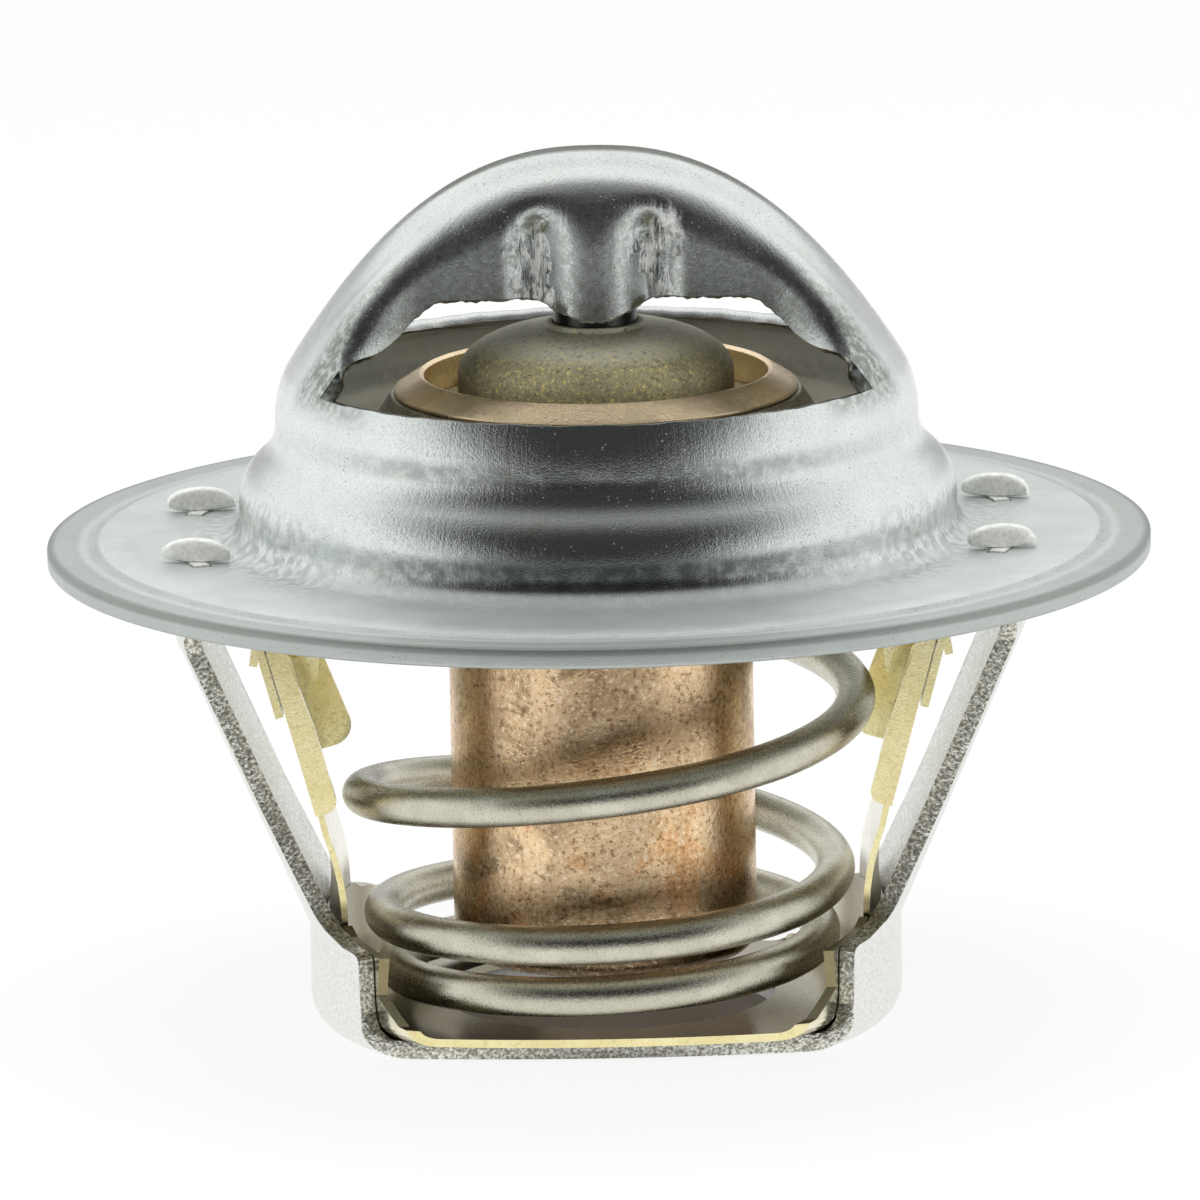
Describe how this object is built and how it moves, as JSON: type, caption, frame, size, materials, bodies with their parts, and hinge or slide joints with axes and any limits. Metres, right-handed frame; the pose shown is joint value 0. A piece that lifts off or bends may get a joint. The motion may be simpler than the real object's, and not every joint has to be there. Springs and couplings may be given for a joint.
{
  "type": "engine coolant thermostat",
  "caption": "Wax-element valve for an engine's coolant: round steel flange with a collar and bridge, copper element with a coil spring, held in a sheet-metal stirrup.",
  "frame": {"origin": "on the axis, on the flat top face of the flange", "axes": "+Z along the axis towards the bridge, X through the two feet of the bridge and the two legs of the stirrup"},
  "size_m": [0.054, 0.054, 0.0435],
  "materials": {
    "housing": "bright zinc plate",
    "stirrup": "satin zinc plate",
    "locking_strap": "yellow passivated spring steel",
    "piston": "ground",
    "main_spring": "stainless wire",
    "valve_disc": "satin",
    "element_case": "copper, darkened",
    "guide_dome": "blasted",
    "boot": "matt",
    "back_up_ring": "matt",
    "wax_charge": "waxy"
  },
  "bodies": {
    "housing": {"housing": "housing", "stirrup": "stirrup", "locking_strap": "locking_strap", "piston": "piston", "main_spring": "main_spring"},
    "valve": {"valve_disc": "valve_disc", "element_case": "element_case", "guide_dome": "guide_dome", "boot": "boot", "back_up_ring": "back_up_ring", "wax_charge": "wax_charge"}
  },
  "joints": [
    {"name": "valve_lift", "type": "slide", "parent": "housing", "child": "valve", "axis": [0, 0, -1], "range_m": [0, 0.0076], "stiffness_N_per_m": 1500, "springref_m": -0.008, "deforming": ["main_spring"]}
  ]
}
